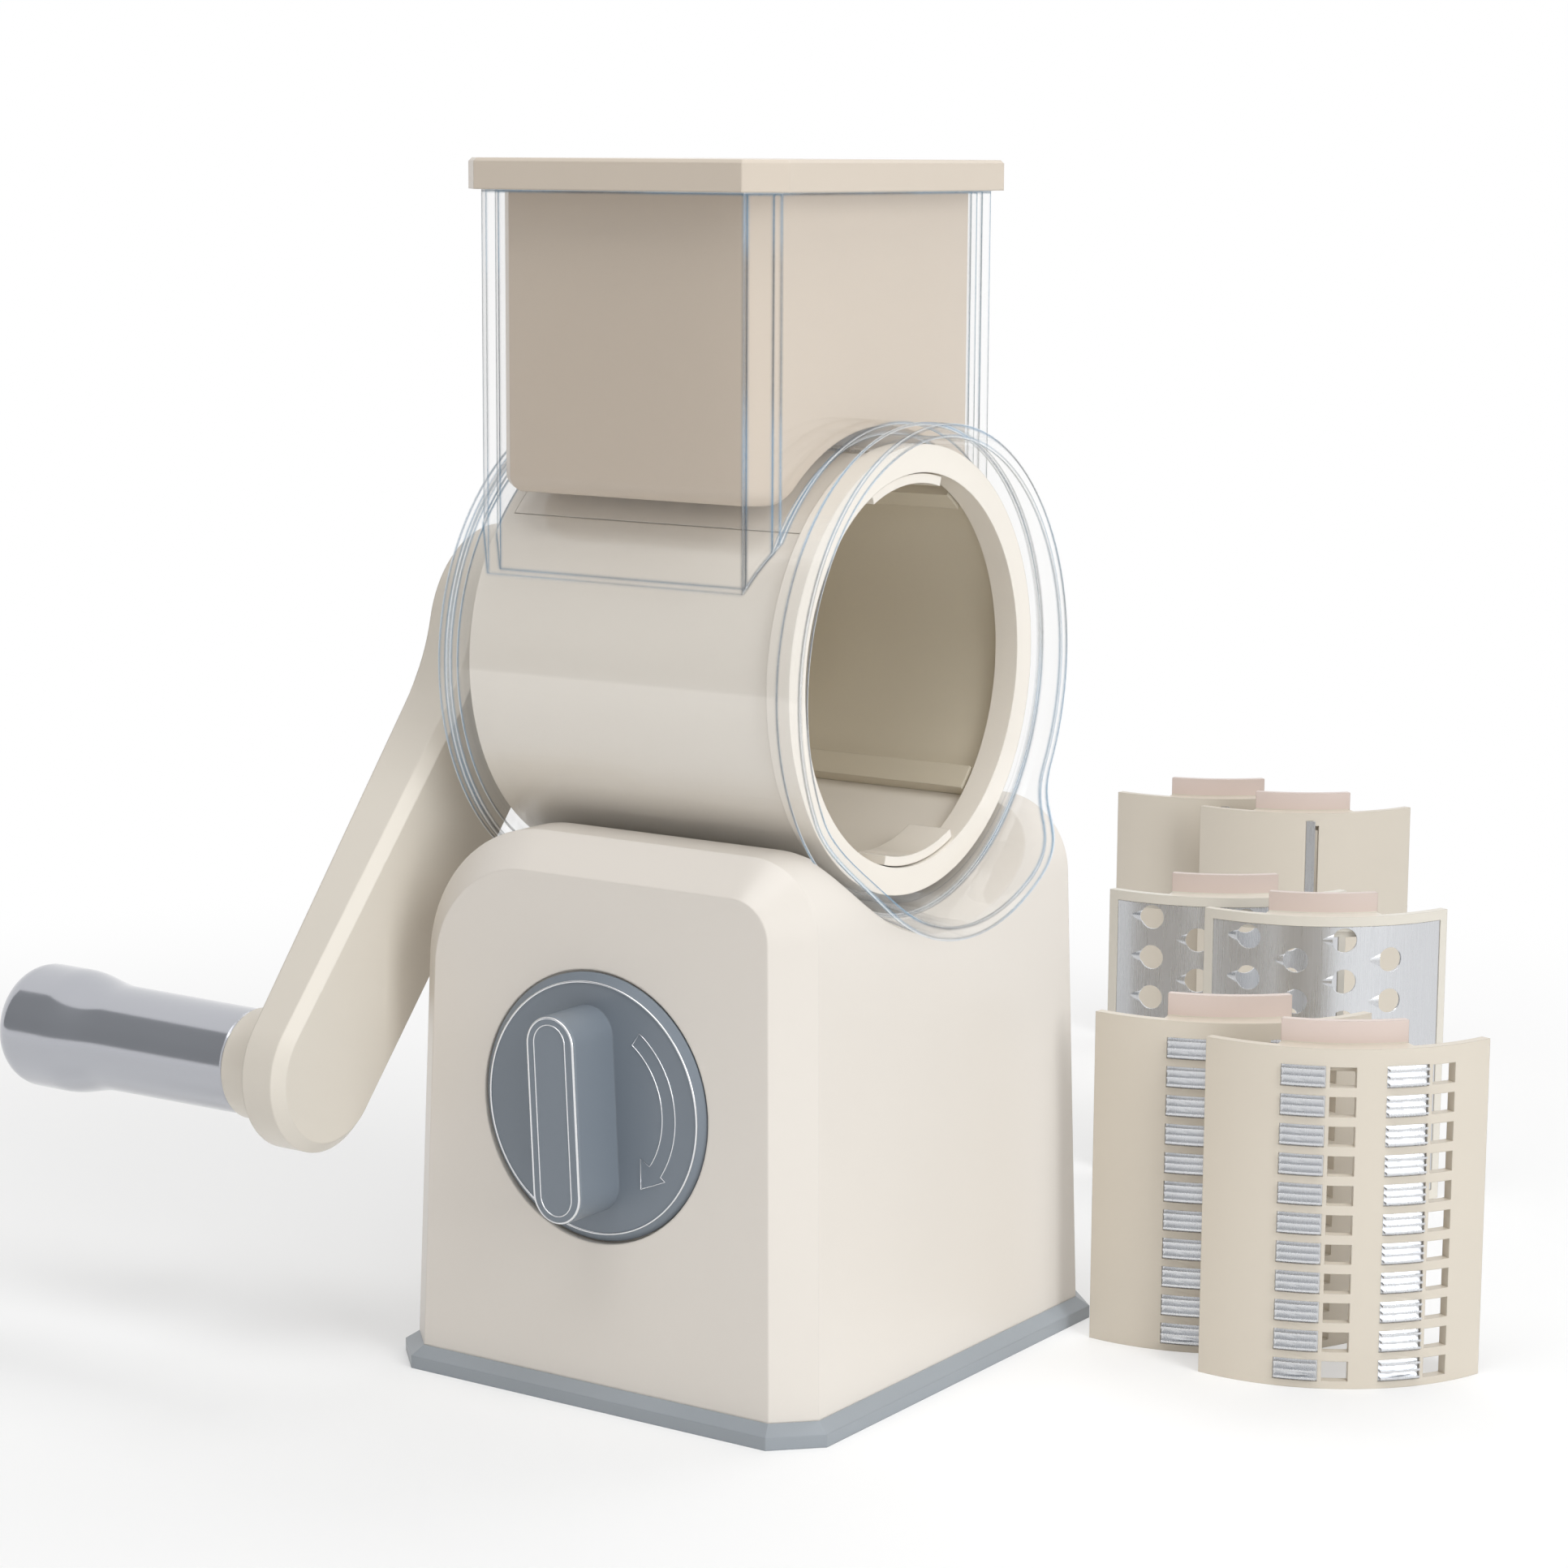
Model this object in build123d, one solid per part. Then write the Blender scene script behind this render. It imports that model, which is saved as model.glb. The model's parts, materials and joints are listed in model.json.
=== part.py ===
from build123d import *
import os
from math import atan2, cos, degrees, pi, radians, sin, sqrt, tan

# Rotary drum shredder: a beige base on a suction foot, a clear housing that lifts off it, a drum
# turned by a crank, a pusher in the hopper and three pairs of curved insert plates beside it.
# Millimetres. +X runs along the drum to its open end, -Y is the side with the suction knob and
# +Z is up. The origin is the middle of the foot, on the table.

# clearances
slide_gap = 0.3  # between curved parts of different bodies
running_fit = 0.05  # radial, shafts in their bores
snug_fit = 0.1  # between parts that are clipped or screwed together
face_gap = 0.3  # between flat parts that turn against each other

# foot plate
foot_margin = 3.2  # beyond the base, all round
foot_corner = 10.0
foot_edge_height = 3.0
foot_height = 5.2
foot_lip_height = 5.0
foot_lip_wall = 2.2

# base housing
base_length = 116.0
base_width = 132.0
base_height = 131.4
base_draft = 1.5  # degrees
base_chamfer = 8.2
base_wall = 3.0
crank_side_corner = 34.0
outlet_side_corner = 18.0
screw_inset_x = 9.0
screw_inset_y = 9.5
screw_post_radius = 4.6
screw_post_height = 22.0

# screws that hold the foot plate
screw_radius = 1.6
screw_length = 18.0
screw_head_radius = 3.2
screw_head_height = 1.8
screw_recess = 2.4

# drum housing
axis_height = 168.0
sleeve_radius = 56.8
sleeve_wall = 2.4
sleeve_start = -50.0
collar_radius = 57.6
collar_start = 45.0
collar_wall = 3.2
collar_end = 52.0
flange_radius = 58.2
lip_end = 61.2
lip_radius = 59.4
lip_drop = 1.9
lip_root_height = 140.0
lip_turn_height = 116.0
hub_radius = 12.0
hub_length = 7.0
key_width = 12.0
key_length = 40.0
key_depth = 5.0

# hopper
hopper_length = 84.0
hopper_width = 100.0
hopper_top = 277.9
hopper_wall = 3.0
hopper_corner = 6.0
hopper_x = -3.5
hopper_y = -2.5

# pusher
pusher_clearance = 1.3
pusher_bottom = 208.4
pusher_wall = 2.5
pusher_corner = 5.0
pusher_edge_round = 4.0
pusher_drum_gap = 3.7
lid_overhang = 2.8
lid_height = 7.1
lid_corner = 7.6
lid_edge = 0.8
lid_plug_height = 4.0

# drum
drum_start = -46.5
drum_disc = 3.2
drum_radius = 51.0
drum_wall = 2.6
ring_radius = 52.5
ring_inner_radius = 46.0
ring_length = 6.2
window_turn = 96.5  # degrees from +Y towards +Z, middle of the upper window
rail_depth = 3.0
rail_overlap = 3.0  # degrees of each rail under the plate
rail_width = 8.0  # degrees
rail_ring_gap = 0.6
drum_hub_radius = 10.0
drum_hub_length = 14.0

# insert plates
plate_length = 82.0
plate_arc = 81.8  # degrees
tab_arc = 38.0  # degrees
tab_turn = -2.0  # degrees from the plate's middle
tab_thickness = 2.2
tab_reach = 5.5
tab_root = 6.0
frame_border = 2.8
frame_ledge = 1.4
sheet_thickness = 0.7
sheet_depth = 0.2
blade_width = 7.7
blade_thickness = 0.5
blade_length = 77.0
blade_tilt = 15.0  # degrees
blade_depth = 0.6  # of its middle, under the plate's outside
blade_offset = 2.2
slot_width = 3.2
slot_length = 74.0
slot_offset = -1.1

# coarse teeth
tooth_columns = (7, 6, 7, 6)
tooth_pitch = 11.5
tooth_column_turn = 14.9  # degrees
first_column_turn = -25.7  # degrees from the plate's middle
tooth_hole_radius = 3.4
tooth_radius = 3.2
tooth_tip_radius = 0.5
tooth_sink = 1.5
tooth_reach = 8.0
tooth_wall = 0.5

# fine teeth
comb_count = 11
comb_pitch = 7.1
comb_length = 5.2
comb_shift = -1.2  # of both rows, away from the tab
comb_margin = 0.6
comb_arc = 13.0  # degrees
comb_turns = (-13.5, 14.5)  # degrees from the plate's middle
comb_fins = 3
fin_thickness = 0.5
fin_height = 1.7
comb_strip = 1.2
comb_skin = 0.6
comb_slot_length = 4.8
comb_slot_arc = 7.0  # degrees
comb_slot_gap = 0.5  # degrees

# crank
shaft_radius = 6.0
hex_size = 9.0
hub_bush_radius = 8.0
bush_flange_radius = 10.5
bush_flange = 0.8
washer_radius = 10.0
washer_thickness = 1.0
crank_foot_gap = 1.8  # as the crank passes the foot plate
crank_hub_radius = 27.0
crank_hub_thickness = 15.5
crank_end_thickness = 11.0
crank_half_width = 18.5
crank_length = 126.5
crank_turn = 41.0  # degrees from straight down, towards the knob side
crank_blend = 45.0
crank_inner_chamfer = 2.6
crank_outer_chamfer = 1.2
crank_boss_radius = 11.0
crank_screw_radius = 2.4
crank_screw_head_radius = 4.6
crank_screw_head_height = 3.0
crank_screw_length = 12.0
cap_radius = 7.0
cap_thickness = 1.6
shaft_in_crank = 9.0
shaft_in_drum = 13.0

# grip
collar_boss_radius = 13.3
collar_boss_length = 12.0
grip_length = 74.0
grip_inner_radius = 12.65
grip_waist_radius = 12.9
grip_flare_radius = 15.2
grip_waist = 42.0
grip_flare = 58.0
grip_end_round = 6.5
grip_edge = 0.5
pin_radius = 4.0
pin_depth = 8.0
pin_head_radius = 5.2
pin_head_length = 3.4
pin_length = 69.0

# suction knob and cam
knob_height = 70.5
knob_radius = 31.4
knob_front_radius = 29.4
knob_thickness = 2.2
knob_edge = 0.8
knob_seat_radius = 31.9
knob_seat_depth = 3.2  # behind the base's lower edge
bar_length = 48.2
bar_width = 13.6
bar_height = 14.7
bar_turn = 3.0  # degrees
bar_edge = 0.8
spindle_radius = 5.0
spindle_hex = 8.0
spindle_end = -12.0
spindle_boss_radius = 8.0
spindle_boss_length = 12.0
cam_web_radius = 8.0
cam_web_thickness = 4.0
cam_throw = 4.0
cam_pin_radius = 2.5
cam_pin_length = 12.0
clip_radius = 8.0
clip_thickness = 1.0
clip_groove = 0.9
bearing_post_width = 18.0
bearing_post_thickness = 6.0
bearing_post_back = -14.0

# plunger and suction cup
plunger_radius = 5.0
plunger_head_radius = 9.0
plunger_head_height = 0.9
plunger_bottom = 1.0
plunger_stem_top = 61.0
guide_radius = 8.0
guide_top = 30.0
yoke_thickness = 5.0
yoke_wall = 3.0
yoke_slack = 0.95  # lets the straight rise follow the pin's arc
cup_radius = 42.0
cup_recess_radius = 44.0
cup_recess = 3.2
cup_pocket_radius = 13.0
cup_pocket_depth = 8.2
cup_web = 1.1
cup_lip_height = 0.3

# where the loose insert plates stand: right of the machine and away from the knob side,
# one pair behind the other
display_turn = 34.0  # degrees, direction that the plates face, from -Y towards +X
display_side = (140.0, 156.0, 172.0)
display_depth = (-40.0, 115.0, 280.0)
pair_side = 24.0
pair_depth = 26.0

# places that follow from the sizes above
foot_length = base_length + 2 * foot_margin
foot_width = base_width + 2 * foot_margin
screw_post_x = base_length / 2 - screw_inset_x
screw_post_y = base_width / 2 - screw_inset_y
knob_seat_face = knob_seat_depth - base_width / 2
crank_inner_face = -foot_length / 2 - crank_foot_gap

os.makedirs("parts", exist_ok=True)


def block(low_x, high_x, low_y, high_y, low_z, high_z):
    middle = ((low_x + high_x) / 2, (low_y + high_y) / 2, (low_z + high_z) / 2)
    return Pos(*middle) * Box(high_x - low_x, high_y - low_y, high_z - low_z)


def rod_x(radius, low, high, y=0.0, z=0.0):
    return Pos((low + high) / 2, y, z) * Rot(0, 90, 0) * Cylinder(radius, high - low)


def rod_y(radius, low, high, x=0.0, z=0.0):
    return Pos(x, (low + high) / 2, z) * Rot(90, 0, 0) * Cylinder(radius, high - low)


def rod_z(radius, low, high, x=0.0, y=0.0):
    return Pos(x, y, (low + high) / 2) * Cylinder(radius, high - low)


def hex_x(across_flats, low, high):
    face = Plane.YZ.offset(low) * RegularPolygon(across_flats / 2, 6, major_radius=False)
    return extrude(face, amount=high - low)


def hex_y(across_flats, low, high):
    face = Plane.XZ.offset(-high) * RegularPolygon(across_flats / 2, 6, major_radius=False)
    return extrude(face, amount=high - low)


def cornered(length, width, corner):
    return chamfer(Rectangle(length, width).vertices(), corner)


def column(length, width, corner, low_z, high_z, x=0.0, y=0.0):
    return extrude(Pos(x, y, low_z) * cornered(length, width, corner), amount=high_z - low_z)


def sector(inner, outer, turn, arc, low_x, high_x):
    # piece of a ring round the X axis, its middle at turn degrees from +Y towards +Z
    def point(radius, angle):
        return (radius * cos(radians(angle)), radius * sin(radians(angle)))

    first, last = turn - arc / 2, turn + arc / 2
    outline = [
        ThreePointArc(point(outer, first), point(outer, turn), point(outer, last)),
        Line(point(outer, last), point(inner, last)),
        ThreePointArc(point(inner, last), point(inner, turn), point(inner, first)),
        Line(point(inner, first), point(outer, first)),
    ]
    return extrude(Plane.YZ.offset(low_x) * make_face(outline), amount=high_x - low_x)


def raised(shape):
    return Pos(0, 0, axis_height) * shape


# ---- base ----

def base_block(inset):
    lean = tan(radians(base_draft))
    top = base_height - inset
    half_length = base_length / 2 - inset
    half_width = base_width / 2 - inset
    taper = lean * (top - foot_height)
    outline = Polyline(
        (-half_length, foot_height), (half_length, foot_height),
        (half_length - taper, top), (taper - half_length, top), close=True)
    face = make_face(outline)
    crank_corner = face.vertices().group_by(Axis.Y)[-1].sort_by(Axis.X)[0]
    face = fillet(crank_corner, crank_side_corner - inset)
    outlet_corner = face.vertices().group_by(Axis.Y)[-1].sort_by(Axis.X)[-1]
    face = fillet(outlet_corner, outlet_side_corner - inset)
    along = extrude(Plane.XZ * face, amount=base_width, both=True)
    side = make_face(Polyline(
        (-half_width, foot_height), (half_width, foot_height),
        (half_width - taper, top), (taper - half_width, top), close=True))
    body = along & extrude(Plane.YZ * side, amount=base_length, both=True)
    leg = base_chamfer - inset * (2 - sqrt(2))
    ends = body.faces().sort_by(Axis.Y)
    edges = [edge for end in (ends[0], ends[-1]) for edge in end.edges()
             if edge.center().Z > foot_height + inset + 1]
    return chamfer(edges, leg)


def lip_side_cut(beyond):
    # everything in front of the outlet's edge, seen from the side
    front = [
        Line((collar_end, base_height * 2), (collar_end, lip_root_height)),
        Spline((collar_end, lip_root_height), (lip_end, lip_turn_height),
               tangents=[(0, -1), (0, -1)]),
        Line((lip_end, lip_turn_height), (lip_end, 0)),
        Line((lip_end, 0), (beyond, 0)),
        Line((beyond, 0), (beyond, base_height * 2)),
        Line((beyond, base_height * 2), (collar_end, base_height * 2)),
    ]
    return extrude(Plane.XZ * make_face(front), amount=base_width, both=True)


def outlet_lip(inset):
    # the collar drawn out and slightly down, to pour over the base's side
    start = Plane.YZ.offset(collar_start) * Pos(0, axis_height) * Circle(collar_radius - inset)
    drop = axis_height - lip_drop
    end = Plane.YZ.offset(lip_end) * Pos(0, drop) * Circle(lip_radius - inset)
    return loft([start, end])


def housing_shadow(gap):
    # room that the drum housing needs in the base
    room = raised(rod_x(sleeve_radius + gap, -base_length, collar_start))
    room += raised(rod_x(flange_radius + gap, -base_length, sleeve_start + sleeve_wall + gap))
    room += raised(rod_x(collar_radius + gap, collar_start - gap, base_length))
    room += Pos(-gap, 0, 0) * outlet_lip(-gap) + outlet_lip(-gap)
    return room


def make_base_housing():
    body = base_block(0) - housing_shadow(slide_gap)
    hollow = base_block(base_wall) - housing_shadow(slide_gap + base_wall)
    body -= hollow
    seat_back = knob_seat_face + base_wall
    body += rod_y(knob_seat_radius + base_wall, knob_seat_face, seat_back, 0, knob_height)
    body -= rod_y(knob_seat_radius, -base_width, knob_seat_face, 0, knob_height)
    wall_back = base_wall - base_width / 2
    boss_end = wall_back + spindle_boss_length
    body += rod_y(spindle_boss_radius, knob_seat_face + 1, boss_end, 0, knob_height)
    posts = [(x, y) for x in (-screw_post_x, screw_post_x) for y in (-screw_post_y, screw_post_y)]
    solid = base_block(base_wall / 2)
    for x, y in posts:
        body += rod_z(screw_post_radius, foot_height, foot_height + screw_post_height, x, y) & solid
    for x, y in posts:
        tip = screw_recess + screw_length + snug_fit
        body -= rod_z(screw_radius + snug_fit, 0, tip, x, y)
    key_low = axis_height - sleeve_radius - key_depth - slide_gap
    half_key = key_length / 2 + slide_gap
    half_slot = key_width / 2 + slide_gap
    body -= block(-half_key, half_key, -half_slot, half_slot, key_low, base_height)
    body -= rod_y(spindle_radius + running_fit, -base_width, boss_end + 1, 0, knob_height)
    return body


def make_foot_plate():
    lower = column(foot_length, foot_width, foot_corner, 0, foot_edge_height)
    ridge = Pos(0, 0, foot_edge_height) * cornered(foot_length, foot_width, foot_corner)
    rim = Pos(0, 0, foot_height) * cornered(base_length, base_width, base_chamfer)
    plate = lower + loft([ridge, rim], ruled=True)
    inset = 2 * (base_wall + snug_fit + 0.3)
    lip_top = foot_height + foot_lip_height
    lip = column(base_length - inset, base_width - inset, base_chamfer, foot_height, lip_top)
    lip -= column(base_length - inset - 2 * foot_lip_wall, base_width - inset - 2 * foot_lip_wall,
                  base_chamfer, foot_height, lip_top)
    plate += lip
    plate += rod_z(cup_pocket_radius + 3, 0, cup_pocket_depth + 2.2)
    plate += rod_z(guide_radius, 0, guide_top)
    post_front = bearing_post_back - bearing_post_thickness
    half_post = bearing_post_width / 2
    plate += block(-half_post, half_post, post_front, bearing_post_back,
                   foot_edge_height, knob_height)
    plate += rod_y(half_post, post_front, bearing_post_back, 0, knob_height)
    plate -= rod_z(cup_recess_radius, 0, cup_recess)
    plate -= rod_z(cup_pocket_radius, 0, cup_pocket_depth)
    plate -= rod_z(plunger_radius + running_fit, 0, guide_top)
    plate -= rod_y(spindle_radius + running_fit, post_front, bearing_post_back, 0, knob_height)
    for x in (-screw_post_x, screw_post_x):
        for y in (-screw_post_y, screw_post_y):
            plate -= rod_z(screw_post_radius + snug_fit, foot_height, lip_top, x, y)
            plate -= rod_z(screw_radius + snug_fit, 0, lip_top, x, y)
            plate -= rod_z(screw_head_radius + snug_fit, 0, screw_recess, x, y)
    return plate


def make_base_screws():
    screws = []
    for x in (-screw_post_x, screw_post_x):
        for y in (-screw_post_y, screw_post_y):
            head_low = screw_recess - screw_head_height
            head = rod_z(screw_head_radius, head_low, screw_recess, x, y)
            slot = block(x - 2.2, x + 2.2, y - 0.4, y + 0.4, head_low, head_low + 0.8)
            cross = block(x - 0.4, x + 0.4, y - 2.2, y + 2.2, head_low, head_low + 0.8)
            shank = rod_z(screw_radius, screw_recess, screw_recess + screw_length, x, y)
            screws.append(head + shank - slot - cross)
    return Compound(children=screws)


# ---- suction foot ----

def make_suction_cup():
    web_low = plunger_bottom + plunger_head_height + 0.05
    web_high = web_low + cup_web
    rim = cup_radius - 3
    outline = Polyline(
        (plunger_radius + slide_gap, web_low), (plunger_head_radius + 2, web_low),
        (rim, cup_lip_height + 0.3), (cup_radius, cup_lip_height),
        (cup_radius, cup_lip_height + 0.7), (rim, cup_lip_height + cup_web + 0.3),
        (plunger_head_radius + 2, web_high), (plunger_radius + slide_gap, web_high), close=True)
    return revolve(Plane.XZ * make_face(outline), Axis.Z)


def make_plunger():
    body = rod_z(plunger_head_radius, plunger_bottom, plunger_bottom + plunger_head_height)
    body += rod_z(plunger_radius, plunger_bottom, plunger_stem_top)
    pin_height = knob_height - cam_throw
    slot_left = -cam_throw - cam_pin_radius - slide_gap
    slot_right = cam_pin_radius + slide_gap
    slot_low = pin_height - cam_pin_radius - yoke_slack
    slot_high = pin_height + cam_pin_radius + snug_fit
    half = yoke_thickness / 2
    body += block(slot_left - yoke_wall, slot_right + yoke_wall, -half, half,
                  slot_low - yoke_wall, slot_high + yoke_wall)
    body -= block(slot_left, slot_right, -half, half, slot_low, slot_high)
    return body


def make_cam_spindle():
    wall_back = base_wall - base_width / 2
    clip_front = wall_back + spindle_boss_length + snug_fit
    knob_back = knob_seat_face - face_gap
    hex_front = knob_back - knob_thickness - bar_height + 4
    body = rod_y(spindle_radius, knob_back, spindle_end, 0, knob_height)
    body -= (rod_y(spindle_radius, clip_front, clip_front + clip_thickness + 0.1, 0, knob_height)
             - rod_y(spindle_radius - clip_groove, clip_front, clip_front + 2, 0, knob_height))
    body += Pos(0, 0, knob_height) * hex_y(spindle_hex, hex_front, knob_back)
    web_back = spindle_end + cam_web_thickness
    body += rod_y(cam_web_radius, spindle_end, web_back, 0, knob_height)
    pin_height = knob_height - cam_throw
    body += rod_y(cam_pin_radius, web_back, web_back + cam_pin_length, 0, pin_height)
    return body


def make_spindle_clip():
    wall_back = base_wall - base_width / 2
    front = wall_back + spindle_boss_length + snug_fit
    back = front + clip_thickness
    ring = rod_y(clip_radius, front, back, 0, knob_height)
    ring -= rod_y(spindle_radius - clip_groove + 0.05, front, back, 0, knob_height)
    half_mouth = spindle_radius - clip_groove - 0.8
    return ring - block(-half_mouth, half_mouth, front, back, knob_height, knob_height + clip_radius)


def make_suction_knob():
    back = knob_seat_face - face_gap
    front = back - knob_thickness
    disc = rod_y(knob_radius, back - knob_edge, back, 0, knob_height)
    cone = Pos(0, (back - knob_edge + front) / 2, knob_height) * Rot(90, 0, 0) * Cone(
        knob_radius, knob_front_radius, knob_thickness - knob_edge)
    bar_face = Plane.XZ.offset(-front) * Rot(0, 0, 90 + bar_turn) * SlotOverall(bar_length, bar_width)
    bar = extrude(bar_face, amount=bar_height)
    bar = chamfer(bar.faces().sort_by(Axis.Y)[0].edges(), bar_edge)
    knob = disc + cone + Pos(0, 0, knob_height) * bar
    hex_front = front - bar_height + 4 - snug_fit
    socket = Pos(0, 0, knob_height) * hex_y(spindle_hex + 2 * snug_fit, hex_front, back)
    return knob - socket


# ---- drum housing ----

def hopper_column(inset, low, high):
    corner = hopper_corner - inset * (2 - sqrt(2))
    return column(hopper_length - 2 * inset, hopper_width - 2 * inset, corner,
                  low, high, hopper_x, hopper_y)


def make_drum_housing():
    inner = sleeve_radius - sleeve_wall
    outside = raised(rod_x(sleeve_radius, sleeve_start, collar_start))
    outside += raised(rod_x(flange_radius, sleeve_start, sleeve_start + sleeve_wall))
    outside += outlet_lip(0)
    outside += hopper_column(0, axis_height, hopper_top)
    outside += raised(rod_x(hub_radius, sleeve_start - hub_length, sleeve_start))
    key_low = axis_height - sleeve_radius - key_depth
    half_key, half_width = key_length / 2, key_width / 2
    outside += block(-half_key, half_key, -half_width, half_width, key_low, key_low + key_depth + 2)
    inside = raised(rod_x(inner, sleeve_start + sleeve_wall, collar_start))
    inside += outlet_lip(collar_wall)
    inside += hopper_column(hopper_wall, axis_height, hopper_top)
    body = outside - inside - lip_side_cut(lip_end + 20)
    bore = raised(rod_x(hub_bush_radius, sleeve_start - hub_length, sleeve_start + sleeve_wall))
    return body - bore


def make_shaft_bush():
    start = sleeve_start - hub_length
    end = sleeve_start + sleeve_wall
    bush = rod_x(hub_bush_radius - 0.02, start, end) + rod_x(bush_flange_radius, end, end + bush_flange)
    return raised(bush - rod_x(shaft_radius + running_fit, start, end + bush_flange))


# ---- drum ----

def drum_end():
    return drum_start + drum_disc + plate_length + 2 * snug_fit + ring_length


def make_drum_body():
    ring_start = drum_end() - ring_length
    disc_end = drum_start + drum_disc
    inner = drum_radius - drum_wall
    body = rod_x(drum_radius, drum_start, disc_end)
    body += rod_x(drum_hub_radius, drum_start, drum_start + drum_hub_length)
    body += rod_x(ring_radius, ring_start, drum_end()) - rod_x(ring_inner_radius, ring_start, drum_end())
    wall_arc = 180 - plate_arc - 0.6
    rail_turn = plate_arc / 2 - rail_overlap + rail_width / 2
    for turn in (window_turn + 90, window_turn - 90):
        body += sector(inner, drum_radius, turn, wall_arc, disc_end, ring_start)
    for window in (window_turn, window_turn + 180):
        for side in (-1, 1):
            turn = window + side * rail_turn
            body += sector(inner - rail_depth, inner, turn, rail_width,
                           disc_end, ring_start - rail_ring_gap)
            root = side * (plate_arc / 2 + 0.3 + (rail_width - rail_overlap) / 2)
            body += sector(inner - 0.5, inner + 0.5, window + root, rail_width - rail_overlap - 0.6,
                           disc_end, ring_start)
    socket = hex_x(hex_size + 2 * snug_fit, drum_start, drum_start + shaft_in_drum + snug_fit)
    return raised(body - socket)


# ---- insert plates, built round the X axis with their middle straight up ----

def plate_shell():
    half = plate_length / 2
    inner = drum_radius - drum_wall
    shell = sector(inner + snug_fit, drum_radius, 90, plate_arc, -half, half)
    turn = 90 + tab_turn
    low = ring_inner_radius - slide_gap - tab_thickness
    shell += sector(low, inner + 1, turn, tab_arc, half - tab_root, half)
    shell += sector(low, low + tab_thickness, turn, tab_arc, half - tab_root, half + tab_reach)
    return shell


def blade_box(grow):
    place = Pos(0, blade_offset, drum_radius - blade_depth) * Rot(-blade_tilt, 0, 0)
    size = (blade_length + 2 * grow, blade_width + 2 * grow, blade_thickness + 2 * grow)
    return place * Box(*size)


def slicer_parts():
    plate = plate_shell() - blade_box(0.06)
    half = slot_length / 2
    plate -= block(-half, half, slot_offset - slot_width / 2, slot_offset + slot_width / 2,
                   drum_radius - drum_wall - 1, drum_radius + 1)
    return plate, blade_box(0)


def tooth_places():
    places = []
    for number, count in enumerate(tooth_columns):
        turn = 90 + first_column_turn + number * tooth_column_turn
        for row in range(count):
            places.append(((row - (count - 1) / 2) * tooth_pitch, turn))
    return places


def tooth_cone(shrink):
    # lies along the drum's turn, its wide mouth over the hole
    height = drum_radius - sheet_depth - tooth_sink
    cone = Cone(tooth_radius - shrink, tooth_tip_radius - shrink / 2, tooth_reach)
    return Pos(0, tooth_reach / 2, height) * Rot(-90, 0, 0) * cone


def shredder_parts():
    half = plate_length / 2 - frame_border
    border_arc = degrees(frame_border / drum_radius)
    ledge_arc = degrees(frame_ledge / drum_radius)
    sheet_arc = plate_arc - 2 * border_arc
    outer = drum_radius - sheet_depth
    inner = outer - sheet_thickness
    frame = plate_shell()
    frame -= sector(inner - 0.05, drum_radius + 1, 90, sheet_arc + 0.2, -half - 0.1, half + 0.1)
    frame -= sector(drum_radius - drum_wall, drum_radius, 90, sheet_arc - 2 * ledge_arc,
                    frame_ledge - half, half - frame_ledge)
    sheet = sector(inner, outer, 90, sheet_arc, -half, half)
    teeth, cuts = [], []
    skin = rod_x(inner + 0.1, -half, half)
    for x, turn in tooth_places():
        place = Pos(x, 0, 0) * Rot(turn - 90, 0, 0)
        teeth.append(place * tooth_cone(0) - skin)
        cuts.append(place * tooth_cone(tooth_wall))
        cuts.append(place * rod_z(tooth_hole_radius, inner - 1, outer + 4))
    sheet = sheet.fuse(*teeth)
    sheet = sheet.cut(*cuts)
    return frame, sheet


def julienne_parts():
    outer = drum_radius - comb_skin
    inner = outer - comb_strip
    half = (comb_count - 1) / 2 * comb_pitch + comb_length / 2 + comb_margin
    plate = plate_shell()
    cuts, rows = [], []
    for comb_turn in comb_turns:
        turn = 90 + comb_turn
        cuts.append(sector(inner - 0.05, outer + 0.05, turn, comb_arc + 0.2,
                           comb_shift - half - 0.1, comb_shift + half + 0.1))
        strip = sector(inner, outer, turn, comb_arc, comb_shift - half, comb_shift + half)
        fins = []
        slot_turn = turn + comb_arc / 2 + comb_slot_gap + comb_slot_arc / 2
        for number in range(comb_count):
            x = comb_shift + (number - (comb_count - 1) / 2) * comb_pitch
            cuts.append(sector(outer - 0.2, drum_radius + 1, turn, comb_arc - 1.2,
                               x - comb_length / 2, x + comb_length / 2))
            cuts.append(sector(drum_radius - drum_wall - 1, drum_radius + 1, slot_turn, comb_slot_arc,
                               x - comb_slot_length / 2, x + comb_slot_length / 2))
            for fin in range(comb_fins):
                low = x + (fin - (comb_fins - 1) / 2) * comb_length / comb_fins - fin_thickness / 2
                fins.append(sector(outer - 0.3, outer + fin_height, turn, comb_arc - 2,
                                   low, low + fin_thickness))
        rows.append(strip.fuse(*fins))
    return plate.cut(*cuts), Compound(children=rows)


def fitted(shape, turn):
    middle = drum_start + drum_disc + snug_fit + plate_length / 2
    return Pos(middle, 0, axis_height) * Rot(turn - 90, 0, 0) * shape


def standing(shape, side, depth):
    # upright on its curved end, tab up, outside towards the display direction
    turn = radians(display_turn)
    x = side * cos(turn) - depth * sin(turn)
    y = side * sin(turn) + depth * cos(turn)
    upright = Rot(0, 0, 90 + display_turn) * Rot(0, -90, 0) * Pos(0, 0, -drum_radius)
    return Pos(x, y, plate_length / 2) * upright * shape


# ---- crank and grip ----

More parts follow.
